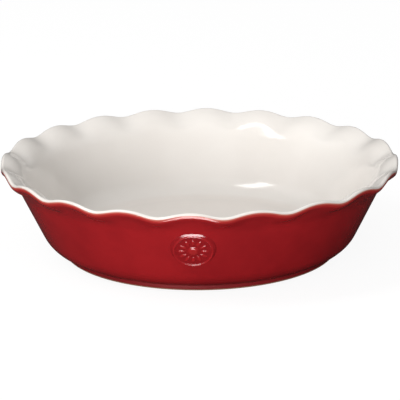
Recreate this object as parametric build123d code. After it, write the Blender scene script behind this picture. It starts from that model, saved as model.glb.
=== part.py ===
from build123d import *
import math
import os

# Glazed stoneware pie dish with a ruffled lip, in millimetres and degrees.
# The origin is the centre of the foot, on the table. Z is up and the medallion faces -Y.

# Rim: the lip's mean size, without its waves
rim_radius = 133.4
rim_height = 62.4
rim_edge_radius = 1.0
lip_reach = 9.5
lip_height = 11.6
lip_slope = 26.0
under_slope = 40.0
lip_under_radius = 3.5

# Ruffle: the wave that lifts and lowers the lip and dies away where the lip meets the wall
lobe_count = 20
ruffle_height = 1.62
ruffle_dip_height = 0.14
ruffle_fade = 9.0
ruffle_turn = -2.5

# Wall: it hangs from the crease, the outer corner under the lip
crease_radius = rim_radius - lip_reach
crease_height = rim_height - lip_height
wall_lean = 25.5
wall_thickness = 6.0
wall_foot_height = 14.5

# Floor and foot
floor_height = 8.0
floor_corner_radius = 12.0
foot_inset = 7.0
foot_radius = crease_radius - crease_height * math.tan(math.radians(wall_lean)) - foot_inset
foot_height = 2.8
foot_width = 5.4
foot_recess = 2.2
foot_groove_depth = 0.7
foot_groove_height = 0.5
bare_foot_height = 0.8
bare_foot_inset = 0.4

# Cream glaze that lines the bowl and rolls over the rim
glaze_thickness = 0.4

# Medallion on the front of the wall
medallion_height_share = 0.68
medallion_turn = -92.9
medallion_radius = 11.4
plate_rise = 0.45
petal_rise = 1.1
petal_count = 12
petal_start = 4.6
petal_end = 10.2
petal_width = 2.8
petal_taper = 20.0
boss_radius = 3.4
boss_rise = 1.5
boss_edge = 0.6

# How finely the curved forms are cut into strips and sections
lobe_section_count = 4
flare_step_count = 2
rim_step_count = 1
under_step_count = 1
floor_corner_step_count = 2
base_step_count = 2

# The flare fills all but a hair of the stretch from the root of the lip to its slope
flare_share = 0.999
# Two faces that meet within this length are one face
join_gap = 0.001


def wall_way():
    lean = math.radians(wall_lean)
    return Vector(math.sin(lean), math.cos(lean))


def wall_point(height, depth):
    # On the wall at a height, at a depth under its outside
    radius = crease_radius - (crease_height - height) * math.tan(math.radians(wall_lean))
    return Vector(radius - depth / math.cos(math.radians(wall_lean)), height)


def rounded(before, corner, after, radius, shares):
    # Points along the arc that rounds a corner, at shares of its length
    arc = FilletPolyline(before, corner, after, radius=radius).edges().filter_by(GeomType.CIRCLE)[0]
    if (arc @ 0 - before).length > (arc @ 1 - before).length:
        return [arc @ (1 - share) for share in shares]
    return [arc @ share for share in shares]


def even(steps):
    return [step / steps for step in range(steps + 1)]


def crossing(start, way, other, other_way):
    # Where a line from start meets another line
    between = other - start
    across = way.X * other_way.Y - way.Y * other_way.X
    return start + way * ((between.X * other_way.Y - between.Y * other_way.X) / across)


def lip_corners(depth):
    # Corners of the lip before they are rounded, from inside the bowl, at a depth under the glaze
    slope = math.radians(lip_slope)
    fall = math.radians(under_slope)
    root = wall_point(crease_height, wall_thickness - depth)
    crease = wall_point(crease_height, 0)
    centre = Vector(rim_radius, rim_height) - Vector(rim_edge_radius, rim_edge_radius)
    on_top = centre + Vector(-math.sin(slope), math.cos(slope)) * (rim_edge_radius - depth)
    top_way = Vector(math.cos(slope), math.sin(slope))
    bend = crossing(root, wall_way(), on_top, top_way)
    top = crossing(on_top, top_way, Vector(rim_radius - depth, 0), Vector(0, 1))
    under = Vector(rim_radius, crease.Y + (rim_radius - crease.X) * math.tan(fall))
    return root, bend, top, under, crease


def ruffle_share(point):
    # Share of the wave that a point of the lip takes, from none at the wall to all of it
    root, bend, top, under, crease = lip_corners(0)
    rise = min(1, (point - root).length / ruffle_fade, (point - crease).length / ruffle_fade)
    return rise * rise * (3 - 2 * rise)


def stations(points, level_ends=()):
    # Points of the profile, each with its share of the wave
    return [(point, 0 if point in level_ends else ruffle_share(point)) for point in points]


def flare(depth):
    # Points of the rounding by which the lip leaves the wall, at a depth under the glaze
    root, bend, top, under, crease = lip_corners(depth)
    turn = math.radians((bend - root).get_angle(top - bend))
    radius = (bend - root).length * flare_share / math.tan(turn / 2)
    return [root] + rounded(root, bend, top, radius, even(flare_step_count))[1:]


def glazed_top():
    # Profile of the cream glaze from the root of the lip, over the rim, to where the red starts
    root, bend, top, under, crease = lip_corners(0)
    line = flare(0) + rounded(bend, top, under, rim_edge_radius, even(rim_step_count))
    return stations(line, line[:1])


def clay_top():
    # Profile of the clay under that glaze, which meets its outside again where the red starts
    line = flare(glaze_thickness)
    return stations(line, line[:1]) + glazed_top()[-1:]


def red_edge():
    # Profile of the red outside of the lip, from below the cream to the crease
    root, bend, top, under, crease = lip_corners(0)
    belly = rounded(top, under, crease, lip_under_radius, even(under_step_count))
    halfway = (belly[-1] + crease) / 2
    return stations([*belly, halfway, crease], [crease])


def lift(phase):
    # Height of the wave at a phase of one lobe, whose crest is at 0
    turn = math.radians(phase)
    return ruffle_height * math.cos(turn) - ruffle_dip_height * math.cos(2 * turn)


def lip_section(profile, phase):
    # The lip's profile, lifted by the wave and stood up in the plane of its place on the rim
    turn = math.radians(phase / lobe_count)
    points = [
        Vector(point.X * math.cos(turn), point.X * math.sin(turn), point.Y + share * lift(phase))
        for point, share in profile
    ]
    return Wire([Edge.make_line(start, end) for start, end in zip(points, points[1:] + points[:1])])


def ruffled_ring(profile):
    # One lobe is a loft from dip to dip, and the ring is its copies
    phases = [360 * (share - 1 / 2) for share in even(lobe_section_count)]
    lobe = Solid.make_loft([lip_section(profile, phase) for phase in phases])
    skin = [face for face in lobe.faces() if not is_lobe_end(face)]
    turns = [ruffle_turn + 360 * copy / lobe_count for copy in range(lobe_count)]
    return Solid(Shell([Rot(0, 0, turn) * face for turn in turns for face in skin]))


def is_lobe_end(face):
    return face.geom_type == GeomType.PLANE and abs(face.normal_at().Z) < join_gap


def bowl_line(depth):
    # Inside of the bowl from its axis to the root of the lip, at a depth under the glaze
    floor = floor_height - depth
    root = wall_point(crease_height, wall_thickness - depth)
    corner = wall_point(floor, wall_thickness - depth)
    middle = Vector(0, floor)
    radius = floor_corner_radius + depth
    return [middle] + rounded(middle, corner, root, radius, even(floor_corner_step_count)) + [root]


def outside_line():
    # Outside of the wall from the crease, round the base and over the groove to the bare foot
    start = wall_point(wall_foot_height, 0)
    groove = Vector(foot_radius - foot_groove_depth, foot_height + foot_groove_height)
    base = Edge.make_tangent_arc(start, wall_way() * -1, groove)
    curve = [base @ share for share in even(base_step_count)]
    side = [Vector(foot_radius, foot_height), Vector(foot_radius, bare_foot_height)]
    return [wall_point(crease_height, 0)] + curve + side


def turned(points):
    # A profile of points, turned round the dish's axis
    return revolve(Plane.XZ * make_face(Polyline(*points, close=True)), Axis.Z).solid()


def stoneware_body():
    # Red outside, wall, floor and lip in one piece of fired clay
    inner = foot_radius - foot_width
    under = [Vector(inner, bare_foot_height), Vector(inner, foot_recess), Vector(0, foot_recess)]
    wall = turned(bowl_line(glaze_thickness) + outside_line() + under)
    lip = ruffled_ring(clay_top() + red_edge())
    return wall.fuse(lip, tol=join_gap)


def cream_liner():
    # Glaze coat on the floor and wall, over the ruffle, to the edge of the rim
    coat = turned(bowl_line(0) + bowl_line(glaze_thickness)[::-1])
    lip = ruffled_ring(glazed_top() + clay_top()[-2::-1])
    return coat.fuse(lip, tol=join_gap)


def bare_foot_ring():
    # Unglazed ring that the dish stands on
    outer = foot_radius - bare_foot_inset
    inner = foot_radius - foot_width + bare_foot_inset
    return turned([
        Vector(outer, bare_foot_height),
        Vector(outer, 0),
        Vector(inner, 0),
        Vector(inner, bare_foot_height),
    ])


def medallion_plane():
    # On the wall, facing straight out of it
    seat = wall_point(crease_height * medallion_height_share, 0)
    turn = math.radians(medallion_turn)
    lean = math.radians(wall_lean)
    origin = Vector(seat.X * math.cos(turn), seat.X * math.sin(turn), seat.Y)
    out = Vector(math.cos(lean) * math.cos(turn), math.cos(lean) * math.sin(turn), -math.sin(lean))
    side = Vector(-math.sin(turn), math.cos(turn), 0)
    return Plane(origin, x_dir=side, z_dir=out)


def rosette_petal():
    # Kite-shaped petal with a ridge, pointing along X
    middle = (petal_start + petal_end) / 2
    outline = Polyline(
        (petal_start, 0), (middle, -petal_width / 2), (petal_end, 0), (middle, petal_width / 2), close=True
    )
    return extrude(make_face(outline), petal_rise, taper=petal_taper)


def wall_medallion():
    # Raised rosette, with its back shaped to the curve of the wall
    sink = medallion_radius * medallion_radius / crease_radius
    solid = extrude(Pos(0, 0, -sink) * Circle(medallion_radius), sink + plate_rise)
    solid += [Rot(0, 0, 360 * copy / petal_count) * rosette_petal() for copy in range(petal_count)]
    solid += Pos(0, 0, boss_rise / 2) * Cone(boss_radius, boss_radius - boss_edge, boss_rise)
    stood = medallion_plane().location * solid
    wall = turned([Vector(0, 0), wall_point(0, 0), wall_point(crease_height, 0), Vector(0, crease_height)])
    return (stood - wall).solid()


def main():
    os.makedirs("parts", exist_ok=True)
    nodes = {
        "stoneware_body": stoneware_body(),
        "cream_liner_glaze": cream_liner(),
        "bare_foot_ring": bare_foot_ring(),
        "wall_medallion": wall_medallion(),
    }
    for name, solid in nodes.items():
        export_step(solid, f"parts/{name}.step")
        print(name, "valid" if solid.is_valid else "not valid", round(solid.volume), "mm3")


main()
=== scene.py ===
import math

import bpy
from mathutils import Matrix, Vector


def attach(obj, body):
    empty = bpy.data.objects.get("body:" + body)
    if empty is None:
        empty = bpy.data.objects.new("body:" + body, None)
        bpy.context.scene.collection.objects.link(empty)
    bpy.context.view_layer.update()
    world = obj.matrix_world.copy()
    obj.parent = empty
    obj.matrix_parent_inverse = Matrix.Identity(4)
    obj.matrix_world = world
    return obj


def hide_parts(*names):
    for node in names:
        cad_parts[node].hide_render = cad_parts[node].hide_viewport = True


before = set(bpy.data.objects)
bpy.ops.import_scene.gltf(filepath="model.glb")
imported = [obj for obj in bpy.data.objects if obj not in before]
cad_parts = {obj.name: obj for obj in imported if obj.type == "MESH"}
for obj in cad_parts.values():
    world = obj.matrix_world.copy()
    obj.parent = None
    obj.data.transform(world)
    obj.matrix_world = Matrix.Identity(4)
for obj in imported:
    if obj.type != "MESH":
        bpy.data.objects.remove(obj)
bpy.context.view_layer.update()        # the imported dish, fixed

mm = 0.001               # a millimetre in Blender's metres
print("frame loaded")


# Camera, where the photo was taken from
cameraSet = {
    "place": (0.0, -1.26985, 0.41325), "lookAt": (0.0002, 0.0, 0.0325),    # metres
    "roll": -0.485,                                                        # degrees
    "lens": 175.84, "sensor": 36.0,                                        # mm
    "clipNear": 0.05, "clipFar": 50.0,
}


def addCamera(cfg):
    data = bpy.data.cameras.new("camera")
    data.lens = cfg["lens"]
    data.sensor_width = cfg["sensor"]
    data.clip_start = cfg["clipNear"]
    data.clip_end = cfg["clipFar"]
    cam = bpy.data.objects.new("camera", data)
    bpy.context.collection.objects.link(cam)
    cam.location = cfg["place"]
    way = Vector(cfg["lookAt"]) - Vector(cfg["place"])
    turn = way.to_track_quat("-Z", "Y").to_matrix().to_4x4()
    roll = Matrix.Rotation(math.radians(cfg["roll"]), 4, "Z")
    cam.rotation_euler = (turn @ roll).to_euler()
    bpy.context.scene.camera = cam


addCamera(cameraSet)
print("camera placed")


# Shader desk: a socket works as a number in a Python expression
class Soc:
    def __init__(self, desk, out):
        self.desk, self.out = desk, out

    def __add__(self, other): return self.desk.maths("ADD", self, other)
    def __radd__(self, other): return self.desk.maths("ADD", other, self)
    def __sub__(self, other): return self.desk.maths("SUBTRACT", self, other)
    def __rsub__(self, other): return self.desk.maths("SUBTRACT", other, self)
    def __mul__(self, other): return self.desk.maths("MULTIPLY", self, other)
    def __rmul__(self, other): return self.desk.maths("MULTIPLY", other, self)
    def __truediv__(self, other): return self.desk.maths("DIVIDE", self, other)
    def __rtruediv__(self, other): return self.desk.maths("DIVIDE", other, self)


class Desk:
    def __init__(self, name):
        self.mat = bpy.data.materials.new(name)
        self.mat.use_nodes = True
        self.tree = self.mat.node_tree
        self.tree.nodes.clear()

    def node(self, kind, settings=None, sockets=None, out=0):
        # a node with its settings, then the values or links of its sockets
        made = self.tree.nodes.new(kind)
        for key, value in (settings or {}).items():
            setattr(made, key, value)
        for key, value in (sockets or {}).items():
            if isinstance(value, Soc):
                self.tree.links.new(value.out, made.inputs[key])
            elif made.inputs[key].type == "RGBA":
                made.inputs[key].default_value = (*value, 1.0)
            else:
                made.inputs[key].default_value = value
        return Soc(self, made.outputs[out]) if len(made.outputs) else None

    def maths(self, operation, *values):
        return self.node("ShaderNodeMath", {"operation": operation}, dict(enumerate(values)))

    def place(self):
        return self.node("ShaderNodeTexCoord", out="Object")

    def parts(self):
        # x, y and z of a point of the dish, in metres
        split = self.tree.nodes.new("ShaderNodeSeparateXYZ")
        self.tree.links.new(self.place().out, split.inputs[0])
        return [Soc(self, out) for out in split.outputs]

    def noise(self, scale, detail, roughness):
        return self.node("ShaderNodeTexNoise", {}, {
            "Vector": self.place(), "Scale": scale, "Detail": detail, "Roughness": roughness})

    def ramp(self, value, low, high):
        # from 0 at low to 1 at high, eased at both ends
        return self.node("ShaderNodeMapRange", {"interpolation_type": "SMOOTHSTEP"}, {
            "Value": value, "From Min": low, "From Max": high, "To Min": 0.0, "To Max": 1.0})

    def mix(self, factor, first, second):
        colours = {0: factor, 6: first, 7: second}
        return self.node("ShaderNodeMix", {"data_type": "RGBA"}, colours, out=2)

    def bump(self, strength, deep, height):
        return self.node("ShaderNodeBump", {}, {
            "Strength": strength, "Distance": deep, "Height": height})

    def finish(self, **sockets):
        names = {key.replace("_", " "): value for key, value in sockets.items()}
        shader = self.node("ShaderNodeBsdfPrincipled", {}, names)
        self.node("ShaderNodeOutputMaterial", {}, {"Surface": shader})
        return self.mat


# Glazes. A noise is its scale, detail and roughness; a span is where a layer starts and is full
redSet = {
    "red": (0.375, 0.0140, 0.0175), "deep": (0.150, 0.0045, 0.0080),
    "thin": (0.420, 0.032, 0.028), "edge": (0.560, 0.200, 0.150),
    "mottle": (22.0, 4.0, 0.6), "mottleSpan": (0.35, 0.70), "mottleShare": 0.30,
    "speckle": (900.0, 2.0, 0.5), "speckleSpan": (0.62, 0.80), "speckleShare": 0.12,
    "lowShadeSpan": (0.0022, 0.0105), "lowShadeShare": 0.45, "lowRough": 0.42,       # heights in metres
    "uneven": (160.0, 2.0, 0.5), "unevenDrop": 0.5,                        # mm
    "thinSpan": (0.9, 3.4), "thinShare": 0.8,                              # mm under the edge
    "edgeSpan": (-0.2, 1.3), "edgeShare": 0.8,
    "soft": (55.0, 2.0, 0.5), "fine": (420.0, 2.0, 0.5), "fineShare": 0.06,
    "bump": 0.35, "bumpDeep": 0.0006,
    "gloss": 0.09, "mottleRough": 0.06, "specular": 0.35, "ior": 1.5,
}


def edgeDrop(desk, dish):
    # mm below the waved line where cream and red meet
    x, y, z = desk.parts()
    turn = math.radians(dish["waveTurn"])
    phase = (desk.maths("ARCTAN2", y, x) - turn) * dish["lobes"]
    wave = desk.maths("COSINE", phase) * dish["wave"]
    dip = desk.maths("COSINE", phase * 2.0) * dish["waveDip"]
    return wave - dip + (dish["rimHeight"] - dish["rimEdge"]) - z / mm


def redGlaze(cfg, dish):
    desk = Desk("redGlaze")
    z = desk.parts()[2]
    mottle = desk.noise(*cfg["mottle"])
    patchy = desk.ramp(mottle, *cfg["mottleSpan"]) * cfg["mottleShare"]
    colour = desk.mix(patchy, cfg["red"], cfg["deep"])
    specks = desk.ramp(desk.noise(*cfg["speckle"]), *cfg["speckleSpan"]) * cfg["speckleShare"]
    colour = desk.mix(specks, colour, cfg["deep"])
    low = 1.0 - desk.ramp(z, *cfg["lowShadeSpan"])            # darker towards the foot: painted shade of the band above the foot, partly glaze gathered there
    colour = desk.mix(low * cfg["lowShadeShare"], colour, cfg["deep"])
    uneven = (desk.noise(*cfg["uneven"]) - 0.5) * cfg["unevenDrop"]
    drop = edgeDrop(desk, dish) + uneven
    thin = (1.0 - desk.ramp(drop, *cfg["thinSpan"])) * cfg["thinShare"]
    colour = desk.mix(thin, colour, cfg["thin"])
    edge = (1.0 - desk.ramp(drop, *cfg["edgeSpan"])) * cfg["edgeShare"]
    colour = desk.mix(edge, colour, cfg["edge"])
    height = desk.noise(*cfg["soft"]) + desk.noise(*cfg["fine"]) * cfg["fineShare"]
    rough = cfg["gloss"] + mottle * cfg["mottleRough"] + low * cfg["lowRough"]
    return desk.finish(Base_Color=colour, Roughness=rough,
                       Normal=desk.bump(cfg["bump"], cfg["bumpDeep"], height),
                       Specular_IOR_Level=cfg["specular"], IOR=cfg["ior"])


creamSet = {
    # the dark cream is both random mottle and painted shade on the floor
    "cream": (0.825, 0.790, 0.748), "mottleAndShade": (0.730, 0.680, 0.635), "thin": (0.700, 0.640, 0.600),
    "mottle": (16.0, 4.0, 0.55), "mottleSpan": (0.3, 0.7), "mottleShare": 0.30,
    "floorShadeSpan": (0.0082, 0.0102), "floorShadeShare": 0.75,                     # heights in metres
    "rimSpan": (132.5, 133.2),                                             # radii in mm
    "thinSpan": (-1.5, -0.4), "edgeSpan": (-0.45, 0.15), "edgeShare": 0.6,
    "soft": (45.0, 2.0, 0.5), "bump": 0.30, "bumpDeep": 0.0006,
    "gloss": 0.09, "mottleRough": 0.05, "specular": 0.4, "ior": 1.5,
}


def creamGlaze(cfg, dish, edgeColour):
    desk = Desk("creamGlaze")
    x, y, z = desk.parts()
    mottle = desk.noise(*cfg["mottle"])
    patchy = desk.ramp(mottle, *cfg["mottleSpan"]) * cfg["mottleShare"]
    colour = desk.mix(patchy, cfg["cream"], cfg["mottleAndShade"])
    # painted shade: the floor darker than the wall, standing in for the shading at its edge
    floor = (1.0 - desk.ramp(z, *cfg["floorShadeSpan"])) * cfg["floorShadeShare"]
    colour = desk.mix(floor, colour, cfg["mottleAndShade"])
    drop = edgeDrop(desk, dish)
    rim = desk.ramp(desk.maths("SQRT", x * x + y * y) / mm, *cfg["rimSpan"])
    colour = desk.mix(desk.ramp(drop, *cfg["thinSpan"]) * rim, colour, cfg["thin"])
    edge = desk.ramp(drop, *cfg["edgeSpan"]) * rim * cfg["edgeShare"]
    colour = desk.mix(edge, colour, edgeColour)
    return desk.finish(Base_Color=colour, Roughness=cfg["gloss"] + mottle * cfg["mottleRough"],
                       Normal=desk.bump(cfg["bump"], cfg["bumpDeep"], desk.noise(*cfg["soft"])),
                       Specular_IOR_Level=cfg["specular"], IOR=cfg["ior"])


claySet = {
    # reddish-brown clay: its own tone, painted darker so the lit edge under the foot reads as
    # shade
    "clay": (0.330, 0.155, 0.100), "dark": (0.200, 0.085, 0.055), "pale": (0.450, 0.270, 0.190),
    "grain": (1400.0, 3.0, 0.6), "grainSpan": (0.4, 0.75), "grainShare": 0.5,
    "spots": (160.0, 3.0, 0.6), "spotSpan": (0.55, 0.8), "spotShare": 0.4,
    "bump": 0.5, "bumpDeep": 0.0002, "rough": 0.82, "grainRough": 0.1,
}


def bareClay(cfg):
    desk = Desk("bareClay")
    grain = desk.noise(*cfg["grain"])
    dark = desk.ramp(grain, *cfg["grainSpan"]) * cfg["grainShare"]
    colour = desk.mix(dark, cfg["clay"], cfg["dark"])
    pale = desk.ramp(desk.noise(*cfg["spots"]), *cfg["spotSpan"]) * cfg["spotShare"]
    colour = desk.mix(pale, colour, cfg["pale"])
    return desk.finish(Base_Color=colour, Roughness=cfg["rough"] + grain * cfg["grainRough"],
                       Normal=desk.bump(cfg["bump"], cfg["bumpDeep"], grain))


# The dish, in mm and degrees
dishSet = {
    "rimRadius": 133.4, "rimHeight": 62.34, "rimEdge": 1.45,
    "lipSlope": 26.0, "underSlope": 40.0, "lipUnder": 3.6, "flareRadius": 30.0,
    "creaseRadius": 123.9, "creaseHeight": 50.8, "creaseSoft": 22.0,
    "wallLean": 25.5, "wallThick": 6.0, "wallFootHeight": 14.5, "glaze": 0.4,
    "floorHeight": 8.0, "floorCorner": 20.0,
    "footRadius": 92.67, "footHeight": 2.8, "footWidth": 5.4, "footRecess": 2.2,
    "bareFoot": 0.8, "grooveDepth": 0.45, "grooveHeight": 0.5,
    # the ruffle; waveDip flattens its crests and deepens its dips
    "lobes": 20, "wave": 1.62, "waveDip": 0.14, "waveFade": 9.0, "waveTurn": -2.5,
    # how the lines are cut into rings: steps of each arc, shares of each run, radii and heights
    "around": 12, "rimSteps": 6, "flareSteps": 9, "cornerSteps": 8,
    "bellySteps": 6, "creaseSteps": 5, "baseSteps": 9,
    "innerShares": (0.04, 0.2, 0.4, 0.6, 0.8), "lipShares": (0.35, 0.7),
    "outerShares": (0.08, 0.3, 0.55, 0.8), "edgeHeights": (60.78, 60.58),
    "floorRings": (82.0, 70.0, 50.0, 28.0, 10.0), "underRings": (80.0, 60.0, 35.0, 10.0),
    "poleReach": 11.0, "edgeCrease": 0.8, "levels": 1,
    # the foot's soft corners: small steps out and up from each sharp one, and heights of its sides
    "footTop": ((-0.45, 0.22), (-0.12, -0.05), (0.0, -0.4)), "sideHeights": (1.5, 1.0),
    "landOuter": ((-0.06, 0.04), (-0.3, 0.0), (-2.7, 0.0)), "landInner": ((0.3, 0.0), (0.0, 0.1)),
    "recessEdge": ((-0.1, -0.1), (-0.4, 0.0)),
}


redMat = redGlaze(redSet, dishSet)
creamMat = creamGlaze(creamSet, dishSet, redSet["edge"])
clayMat = bareClay(claySet)
print("glazes mixed")


# Lines of the dish in a plane: x is the radius and y the height
def onWall(cfg, height, depth):
    lean = math.radians(cfg["wallLean"])
    radius = cfg["creaseRadius"] - (cfg["creaseHeight"] - height) * math.tan(lean)
    return Vector((radius - depth / math.cos(lean), height))


def meet(start, way, other, otherWay):
    # where two lines cross
    gap = other - start
    across = way.x * otherWay.y - way.y * otherWay.x
    return start + way * ((gap.x * otherWay.y - gap.y * otherWay.x) / across)


def arcPoints(centre, start, end, steps):
    # even points on a circle from start to end
    first, last = start - centre, end - centre
    sweep = math.atan2(first.x * last.y - first.y * last.x, first.dot(last))
    points = []
    for step in range(steps + 1):
        turn = sweep * step / steps
        points.append(centre + Vector((first.x * math.cos(turn) - first.y * math.sin(turn),
                                       first.x * math.sin(turn) + first.y * math.cos(turn))))
    return points


def cornerArc(before, corner, after, radius, steps):
    # points of the arc that softens a corner
    back, ahead = (before - corner).normalized(), (after - corner).normalized()
    half = back.angle(ahead) / 2
    centre = corner + (back + ahead).normalized() * (radius / math.sin(half))
    reach = radius / math.tan(half)
    return arcPoints(centre, corner + back * reach, corner + ahead * reach, steps)


def lipCorners(cfg, depth):
    # corners of the lip before they are softened, at a depth under the glaze
    slope, fall = math.radians(cfg["lipSlope"]), math.radians(cfg["underSlope"])
    lean = math.radians(cfg["wallLean"])
    outward = Vector((math.cos(slope), math.sin(slope)))
    root = onWall(cfg, cfg["creaseHeight"], cfg["wallThick"] - depth)
    crease = onWall(cfg, cfg["creaseHeight"], 0)
    centre = Vector((cfg["rimRadius"] - cfg["rimEdge"], cfg["rimHeight"] - cfg["rimEdge"]))
    onTop = centre + Vector((-math.sin(slope), math.cos(slope))) * (cfg["rimEdge"] - depth)
    bend = meet(root, Vector((math.sin(lean), math.cos(lean))), onTop, outward)
    top = meet(onTop, outward, Vector((cfg["rimRadius"] - depth, 0)), Vector((0, 1)))
    under = crease.y + (cfg["rimRadius"] - crease.x) * math.tan(fall)
    return root, bend, top, Vector((cfg["rimRadius"], under)), crease


def waveShare(cfg, point):
    # the share of the ruffle that a point takes: none on the wall, all of it on the lip
    root, bend, top, under, crease = lipCorners(cfg, 0)
    if point.y <= cfg["creaseHeight"]:
        return 0.0
    fade = cfg["waveFade"]
    rise = min(1.0, (point - root).length / fade, (point - crease).length / fade)
    return rise * rise * (3 - 2 * rise)


def topLine(cfg, depth):
    # from the rim's outer edge over the ruffle, down the wall and in to the middle of the floor
    root, bend, top, under, crease = lipCorners(cfg, depth)
    rim = cornerArc(under, top, bend, cfg["rimEdge"] - depth, cfg["rimSteps"])
    flare = cornerArc(top, bend, root, cfg["flareRadius"] - depth, cfg["flareSteps"])
    slope = [rim[-1].lerp(flare[0], 0.5)]
    corner = onWall(cfg, cfg["floorHeight"] - depth, cfg["wallThick"] - depth)
    middle = Vector((0, corner.y))
    fillet = cornerArc(root, corner, middle, cfg["floorCorner"] + depth, cfg["cornerSteps"])
    wall = [flare[-1].lerp(fillet[0], share) for share in cfg["innerShares"]]
    floor = [Vector((radius, corner.y)) for radius in cfg["floorRings"]]
    return rim + slope + flare + wall + fillet + floor


def baseLine(cfg, low):
    # from the wall's foot round to the groove above the foot ring
    lean = math.radians(cfg["wallLean"])
    down = Vector((-math.sin(lean), -math.cos(lean)))
    inward = Vector((down.y, -down.x))
    groove = Vector((cfg["footRadius"] - cfg["grooveDepth"],
                     cfg["footHeight"] + cfg["grooveHeight"]))
    chord = groove - low
    radius = chord.length_squared / (2 * chord.dot(inward))
    return arcPoints(low + inward * radius, low, groove, cfg["baseSteps"])


def stepsFrom(x, y, steps):
    return [Vector((x + across, y + up)) for across, up in steps]


def footLine(cfg):
    # down the foot's side, under its land, up into the recess and in to the middle
    outer, inner = cfg["footRadius"], cfg["footRadius"] - cfg["footWidth"]
    line = stepsFrom(outer, cfg["footHeight"], cfg["footTop"])
    line += [Vector((outer, height)) for height in cfg["sideHeights"]]
    line += stepsFrom(outer, cfg["bareFoot"], cfg["landOuter"])
    line += stepsFrom(inner, cfg["bareFoot"], cfg["landInner"])
    line += [Vector((inner, cfg["sideHeights"][0]))]
    line += stepsFrom(inner, cfg["footRecess"], cfg["recessEdge"])
    return line + [Vector((radius, cfg["footRecess"])) for radius in cfg["underRings"]]


def outLine(cfg):
    # from the rim's outer edge down the outside, under the foot and in to the middle
    root, bend, top, under, crease = lipCorners(cfg, 0)
    low = onWall(cfg, cfg["wallFootHeight"], 0)
    edge = [Vector((cfg["rimRadius"], height)) for height in cfg["edgeHeights"]]
    belly = cornerArc(top, under, crease, cfg["lipUnder"], cfg["bellySteps"])
    fillet = cornerArc(under, crease, low, cfg["creaseSoft"], cfg["creaseSteps"])
    lip = [belly[-1].lerp(fillet[0], share) for share in cfg["lipShares"]]
    wall = [fillet[-1].lerp(low, share) for share in cfg["outerShares"]]
    return edge + belly + lip + fillet + wall + baseLine(cfg, low) + footLine(cfg)


# Modelling steps
def editAll():
    bpy.ops.object.mode_set(mode="EDIT")
    bpy.ops.mesh.select_all(action="SELECT")


def pick(obj, wanted):
    # selects the vertices whose number and place answer the question
    bpy.ops.object.mode_set(mode="OBJECT")
    mesh = obj.data
    mesh.polygons.foreach_set("select", [False] * len(mesh.polygons))
    mesh.edges.foreach_set("select", [False] * len(mesh.edges))
    flags = [bool(wanted(vert.index, vert.co)) for vert in mesh.vertices]
    mesh.vertices.foreach_set("select", flags)
    bpy.ops.object.mode_set(mode="EDIT")
    bpy.ops.mesh.select_mode(type="VERT")


def nextRing(grow, keep, centre, move):
    # extrudes the picked ring, resizes it about a centre and moves it
    bpy.ops.mesh.extrude_edges_move()
    bpy.ops.transform.resize(value=(grow, grow, keep), center_override=centre)
    bpy.ops.transform.translate(value=move)


def drawRings(cfg, line, start):
    # draws the waved ring along a line, and lets the wave fade on the way
    radius, height, share = start.x, start.y, 1.0
    for point in line:
        fade = waveShare(cfg, point)
        keep = fade / share if share > 0 else 1.0
        nextRing(point.x / radius, keep, (0, 0, height * mm), (0, 0, (point.y - height) * mm))
        radius, height, share = point.x, point.y, fade


def startRing(cfg, name, start):
    # the rim's edge as a waved circle
    bpy.ops.object.select_all(action="DESELECT")
    count = cfg["lobes"] * cfg["around"]
    bpy.ops.mesh.primitive_circle_add(
        vertices=count, radius=start.x * mm, location=(0, 0, start.y * mm))
    ring = bpy.context.object
    ring.name = name
    turn = math.radians(cfg["waveTurn"])
    ring.rotation_euler = (0, 0, turn)
    bpy.ops.object.transform_apply(location=True, rotation=True, scale=True)

    def stepOf(co):
        # which step of its lobe a point stands at
        place = (math.atan2(co.y, co.x) - turn) / (2 * math.pi) * count
        return round(place) % cfg["around"]

    for step in range(cfg["around"]):
        phase = 2 * math.pi * step / cfg["around"]
        rise = cfg["wave"] * math.cos(phase) - cfg["waveDip"] * math.cos(2 * phase)
        pick(ring, lambda index, co: stepOf(co) == step)
        bpy.ops.transform.translate(value=(0, 0, rise * mm))
    return ring, count


def smoothOff(obj, levels):
    bpy.ops.object.mode_set(mode="OBJECT")
    soft = obj.modifiers.new("smooth", "SUBSURF")
    soft.levels = soft.render_levels = levels
    bpy.ops.object.modifier_apply(modifier=soft.name)


def faceOut():
    editAll()
    bpy.ops.mesh.normals_make_consistent(inside=False)
    bpy.ops.object.mode_set(mode="OBJECT")
    bpy.ops.object.shade_smooth()


def closeTip():
    # closes the selected ring to a point
    bpy.ops.mesh.extrude_edges_move()
    bpy.ops.mesh.merge(type="CENTER")


def potTurned(cfg, name, over, under):
    # one closed skin: over the top to the floor's middle, and back along its other side
    start = Vector((cfg["rimRadius"], cfg["rimHeight"] - cfg["rimEdge"]))
    pot, count = startRing(cfg, name, start)
    for line in (over, under):
        pick(pot, lambda index, co: index < count)
        drawRings(cfg, line, start)
    pick(pot, lambda index, co: index < count)
    bpy.ops.transform.edge_crease(value=cfg["edgeCrease"])
    smoothOff(pot, cfg["levels"])
    reach = cfg["poleReach"] * mm
    between = (over[-1].y + under[-1].y) / 2 * mm
    for side in (1, -1):
        pick(pot, lambda index, co: co.xy.length < reach and (co.z - between) * side > 0)
        closeTip()
    faceOut()
    return pot


redBody = potTurned(dishSet, "redBody", topLine(dishSet, dishSet["glaze"]), outLine(dishSet))
redBody.data.materials.append(redMat)
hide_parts("stoneware_body")
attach(redBody, "root")
print("red body turned", len(redBody.data.polygons))

creamLiner = potTurned(
    dishSet, "creamLiner", topLine(dishSet, 0.0), topLine(dishSet, dishSet["glaze"]))
creamLiner.data.materials.append(creamMat)
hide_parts("cream_liner_glaze")
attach(creamLiner, "root")
print("cream liner poured", len(creamLiner.data.polygons))


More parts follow.
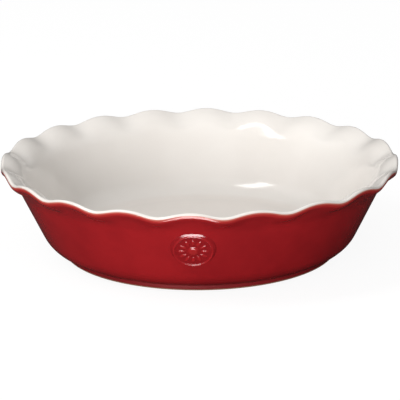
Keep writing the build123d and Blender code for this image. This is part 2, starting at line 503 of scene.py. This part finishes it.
# Rosette on the front of the wall, in mm and degrees
sealSet = {
    "seatHeight": 34.2, "turn": -92.1, "segments": 96,
    # radius, rise and upward shift of each ring, from the skirt in the wall to the boss's top
    "rings": ((14.6, -1.5, 1.6), (14.4, -0.75, 1.5), (14.0, -0.2, 1.25), (13.3, 0.15, 0.6),
              (12.9, 0.4, 0.2), (12.6, 0.72, 0.0), (12.2, 0.88, 0.0), (11.8, 0.72, 0.0),
              (11.5, 0.40, 0.0), (11.1, 0.27, 0.0), (9.5, 0.27, 0.0), (7.0, 0.30, 0.0),
              (4.2, 0.30, 0.0), (3.6, 0.38, 0.0), (3.15, 0.7, 0.0), (2.8, 1.1, 0.0),
              (2.2, 1.35, 0.0), (1.4, 1.45, 0.0), (0.6, 1.48, 0.0)),
    "petals": 12, "petalSegments": 16, "petalAt": 7.2, "petalLong": 2.8, "petalWide": 1.3,
    # share of the petal's outline that each step keeps, and how far it rises
    "petalSteps": ((0.93, 0.30), (0.78, 0.28), (0.55, 0.18), (0.28, 0.08)), "petalLift": 0.1,
    "levels": 2, "mergeGap": 0.005,
    # glaze, deep in what lies low and thin on what stands up, by the rise over the wall
    "mottle": (90.0, 3.0, 0.5), "deepSpan": (0.25, 0.75), "deepShare": 0.4,
    "thinSpan": (0.75, 1.45), "thinShare": 0.3, "uneven": 0.4,
    "bump": 0.3, "bumpDeep": 0.0003,
    "gloss": 0.09, "mottleRough": 0.06, "specular": 0.45, "ior": 1.5,
}


def sealGlaze(cfg, reds, seat, out):
    desk = Desk("sealGlaze")
    x, y, z = desk.parts()
    rise = (x * out.x + y * out.y + z * out.z - seat.dot(out)) / mm
    mottle = desk.noise(*cfg["mottle"])
    deep = (1.0 - desk.ramp(rise, *cfg["deepSpan"])) * cfg["deepShare"]
    colour = desk.mix(deep, reds["red"], reds["deep"])
    uneven = rise + (mottle - 0.5) * cfg["uneven"]
    thin = desk.ramp(uneven, *cfg["thinSpan"]) * cfg["thinShare"]
    colour = desk.mix(thin, colour, reds["thin"])
    return desk.finish(Base_Color=colour, Roughness=cfg["gloss"] + mottle * cfg["mottleRough"],
                       Normal=desk.bump(cfg["bump"], cfg["bumpDeep"], mottle),
                       Specular_IOR_Level=cfg["specular"], IOR=cfg["ior"])


def sealPlace(cfg, dish):
    # stands the seal up on the wall, facing straight out of it
    lean, turn = math.radians(dish["wallLean"]), math.radians(cfg["turn"])
    wall = onWall(dish, cfg["seatHeight"], 0)
    seat = Vector((wall.x * math.cos(turn), wall.x * math.sin(turn), wall.y)) * mm
    out = Vector((math.cos(lean) * math.cos(turn), math.cos(lean) * math.sin(turn),
                  -math.sin(lean)))
    side = Vector((-math.sin(turn), math.cos(turn), 0))
    stood = Matrix((side, out.cross(side), out)).transposed().to_4x4()
    return Matrix.Translation(seat) @ stood, seat, out


def raisePlate(cfg):
    # skirt, ring, field and boss as one turned skin, whose skirt swells upwards
    bpy.ops.object.select_all(action="DESELECT")
    radius, height, shift = cfg["rings"][0]
    bpy.ops.mesh.primitive_circle_add(
        vertices=cfg["segments"], radius=radius * mm, location=(0, shift * mm, height * mm))
    plate = bpy.context.object
    plate.name = "rosetteSeal"
    bpy.ops.object.transform_apply(location=True, rotation=True, scale=True)
    editAll()
    for ring, rise, upward in cfg["rings"][1:]:
        nextRing(ring / radius, 1.0, (0, shift * mm, height * mm),
                 (0, (upward - shift) * mm, (rise - height) * mm))
        radius, height, shift = ring, rise, upward
    closeTip()
    bpy.ops.object.mode_set(mode="OBJECT")
    return plate


def raisePetals(cfg):
    # one petal as a low dome, then its copies round the boss
    bpy.ops.object.select_all(action="DESELECT")
    bpy.ops.mesh.primitive_circle_add(
        vertices=cfg["petalSegments"], radius=mm, location=(0, 0, 0))
    petals = bpy.context.object
    editAll()
    bpy.ops.transform.resize(
        value=(cfg["petalWide"], cfg["petalLong"], 1.0), center_override=(0, 0, 0))
    level, size = cfg["petalLift"] * mm, 1.0
    bpy.ops.transform.translate(value=(0, cfg["petalAt"] * mm, level))
    for share, rise in cfg["petalSteps"]:
        nextRing(share / size, 1.0, (0, cfg["petalAt"] * mm, level), (0, 0, rise * mm))
        level, size = level + rise * mm, share
    closeTip()
    bpy.ops.mesh.select_all(action="SELECT")
    bpy.ops.mesh.spin(steps=cfg["petals"], dupli=True, angle=2 * math.pi,
                      center=(0, 0, 0), axis=(0, 0, 1))
    bpy.ops.mesh.select_all(action="SELECT")
    bpy.ops.mesh.remove_doubles(threshold=cfg["mergeGap"] * mm)
    bpy.ops.object.mode_set(mode="OBJECT")
    return petals


def addSeal(cfg, dish, reds):
    seal, petals = raisePlate(cfg), raisePetals(cfg)
    bpy.ops.object.select_all(action="DESELECT")
    petals.select_set(True)
    seal.select_set(True)
    bpy.context.view_layer.objects.active = seal
    bpy.ops.object.join()
    smoothOff(seal, cfg["levels"])
    editAll()
    bpy.ops.mesh.fill_holes(sides=0)      # flat backs, hidden in the wall and in the plate
    bpy.ops.object.mode_set(mode="OBJECT")
    stood, seat, out = sealPlace(cfg, dish)
    seal.matrix_world = stood
    bpy.ops.object.transform_apply(location=True, rotation=True, scale=True)
    faceOut()
    seal.data.materials.append(sealGlaze(cfg, reds, seat, out))
    return seal


seal = addSeal(sealSet, dishSet, redSet)
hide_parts("wall_medallion")
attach(seal, "root")
print("rosette raised", len(seal.data.polygons))

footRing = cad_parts["bare_foot_ring"]
footRing.data.materials.clear()
footRing.data.materials.append(clayMat)
print("clay foot dressed")


# Table, lamps and backdrop
lightSet = {
    "sky": 0.43, "skyGlossy": 0.02, "aim": (0, 0, 0.03),
    "lamps": {
        # turn and rise in degrees, distance, width, height, power
        "keyBox": (-155.0, 53.0, 1.7, 0.32, 0.85, 9.0),
        "paneBox": (-146.5, 53.0, 1.7, 0.15, 0.85, 0.8),
        "fillBox": (-92.0, 50.0, 1.8, 1.60, 1.20, 4.0),
        "sideBox": (172.0, 40.0, 1.8, 1.20, 0.90, 2.4),
        "rightBox": (8.0, 40.0, 1.8, 1.20, 0.90, 1.2),
        "lowBox": (-103.0, 10.0, 1.9, 1.10, 0.50, 19.5),
    },
}
tableSet = {
    "size": 8.0, "seen": 0.95, "seenShare": 0.88, "glow": 1.04,
    # the light it throws on the glaze grows towards the front, in metres along the way
    "way": -106.0, "span": (0.02, 0.30), "dark": 0.16, "light": 0.80,
    # what the glaze mirrors: a dark table, paler further out
    "mirrored": 0.05, "mirrorSpan": (0.17, 0.30), "mirrorShare": 0.6,
    # a glowing patch painted into the table, seen only in the glaze's reflections, where it paints
    # the highlights on the lip and the rosette; in metres
    "glowPatchX": -0.012, "glowPatchY": -0.248, "glowPatchWide": 0.034, "glowPatchDeep": 0.082,
    "glowPatchSharp": 0.8, "glowPatchGlow": 17.0,
}


def aroundDish(turn, rise, far):
    turn, rise = math.radians(turn), math.radians(rise)
    flat = far * math.cos(rise)
    return flat * math.cos(turn), flat * math.sin(turn), far * math.sin(rise)


def addLamps(cfg):
    for name, (turn, rise, far, width, height, power) in cfg["lamps"].items():
        data = bpy.data.lights.new(name, "AREA")
        data.shape = "RECTANGLE"
        data.size, data.size_y = width, height
        data.energy = power
        lamp = bpy.data.objects.new(name, data)
        bpy.context.collection.objects.link(lamp)
        place = aroundDish(turn, rise, far)
        lamp.location = place
        way = Vector(cfg["aim"]) - Vector(place)
        lamp.rotation_euler = way.to_track_quat("-Z", "Y").to_euler()


def tablePaper(cfg):
    desk = Desk("paperWhite")
    rays = desk.tree.nodes.new("ShaderNodeLightPath")
    straight = Soc(desk, rays.outputs["Is Camera Ray"])
    mirrored = Soc(desk, rays.outputs["Is Glossy Ray"])
    x, y, z = desk.parts()
    way = math.radians(cfg["way"])
    along = x * math.cos(way) + y * math.sin(way)
    dark, light, mirror, seen = (
        (cfg[key],) * 3 for key in ("dark", "light", "mirrored", "seen"))
    shade = desk.mix(desk.ramp(along, *cfg["span"]), dark, light)
    shade = desk.mix(straight, desk.mix(mirrored, shade, mirror), seen)
    plain = desk.node("ShaderNodeBsdfDiffuse", {}, {"Color": shade})

    def inside(value, middle, reach):
        # 1 within the reach of the glowing patch's middle, 0 outside it
        off = desk.maths("ABSOLUTE", value - middle)
        return 1.0 - desk.ramp(off, reach * cfg["glowPatchSharp"], reach)

    glowPatch = inside(x, cfg["glowPatchX"], cfg["glowPatchWide"]) * inside(y, cfg["glowPatchY"], cfg["glowPatchDeep"])
    # painted glow of the patch, seen only by mirrored rays
    level = cfg["glow"] + glowPatch * mirrored * cfg["glowPatchGlow"]
    glow = desk.node("ShaderNodeEmission", {}, {"Color": level, "Strength": 1.0})
    beyond = desk.ramp(along, *cfg["mirrorSpan"]) * cfg["mirrorShare"]
    share = straight * cfg["seenShare"] + mirrored * desk.maths("MAXIMUM", glowPatch, beyond)
    both = desk.node("ShaderNodeMixShader", {}, {0: share, 1: plain, 2: glow})
    desk.node("ShaderNodeOutputMaterial", {}, {"Surface": both})
    return desk.mat


def addTable(cfg):
    bpy.ops.object.select_all(action="DESELECT")
    bpy.ops.mesh.primitive_plane_add(size=cfg["size"], location=(0, 0, 0))
    table = bpy.context.object
    table.name = "tableTop"
    table.data.materials.append(tablePaper(cfg))
    return table


def addSky(cfg):
    # white to the camera, plain to the dish and nearly dark in reflections
    world = bpy.data.worlds.new("studio")
    world.use_nodes = True
    bpy.context.scene.world = world
    tree = world.node_tree
    rays = tree.nodes.new("ShaderNodeLightPath")
    level = tree.nodes.new("ShaderNodeMix")
    level.inputs["A"].default_value = cfg["sky"]
    level.inputs["B"].default_value = cfg["skyGlossy"]
    tree.links.new(rays.outputs["Is Glossy Ray"], level.inputs["Factor"])
    white = tree.nodes.new("ShaderNodeMix")
    tree.links.new(level.outputs["Result"], white.inputs["A"])
    white.inputs["B"].default_value = 1.0
    tree.links.new(rays.outputs["Is Camera Ray"], white.inputs["Factor"])
    back = tree.nodes["Background"]
    back.inputs["Color"].default_value = (1.0, 1.0, 1.0, 1.0)
    tree.links.new(white.outputs["Result"], back.inputs["Strength"])


addLamps(lightSet)
floor = addTable(tableSet)
addSky(lightSet)
scene = bpy.context.scene
scene.view_settings.view_transform = "Standard"
print("lights set")
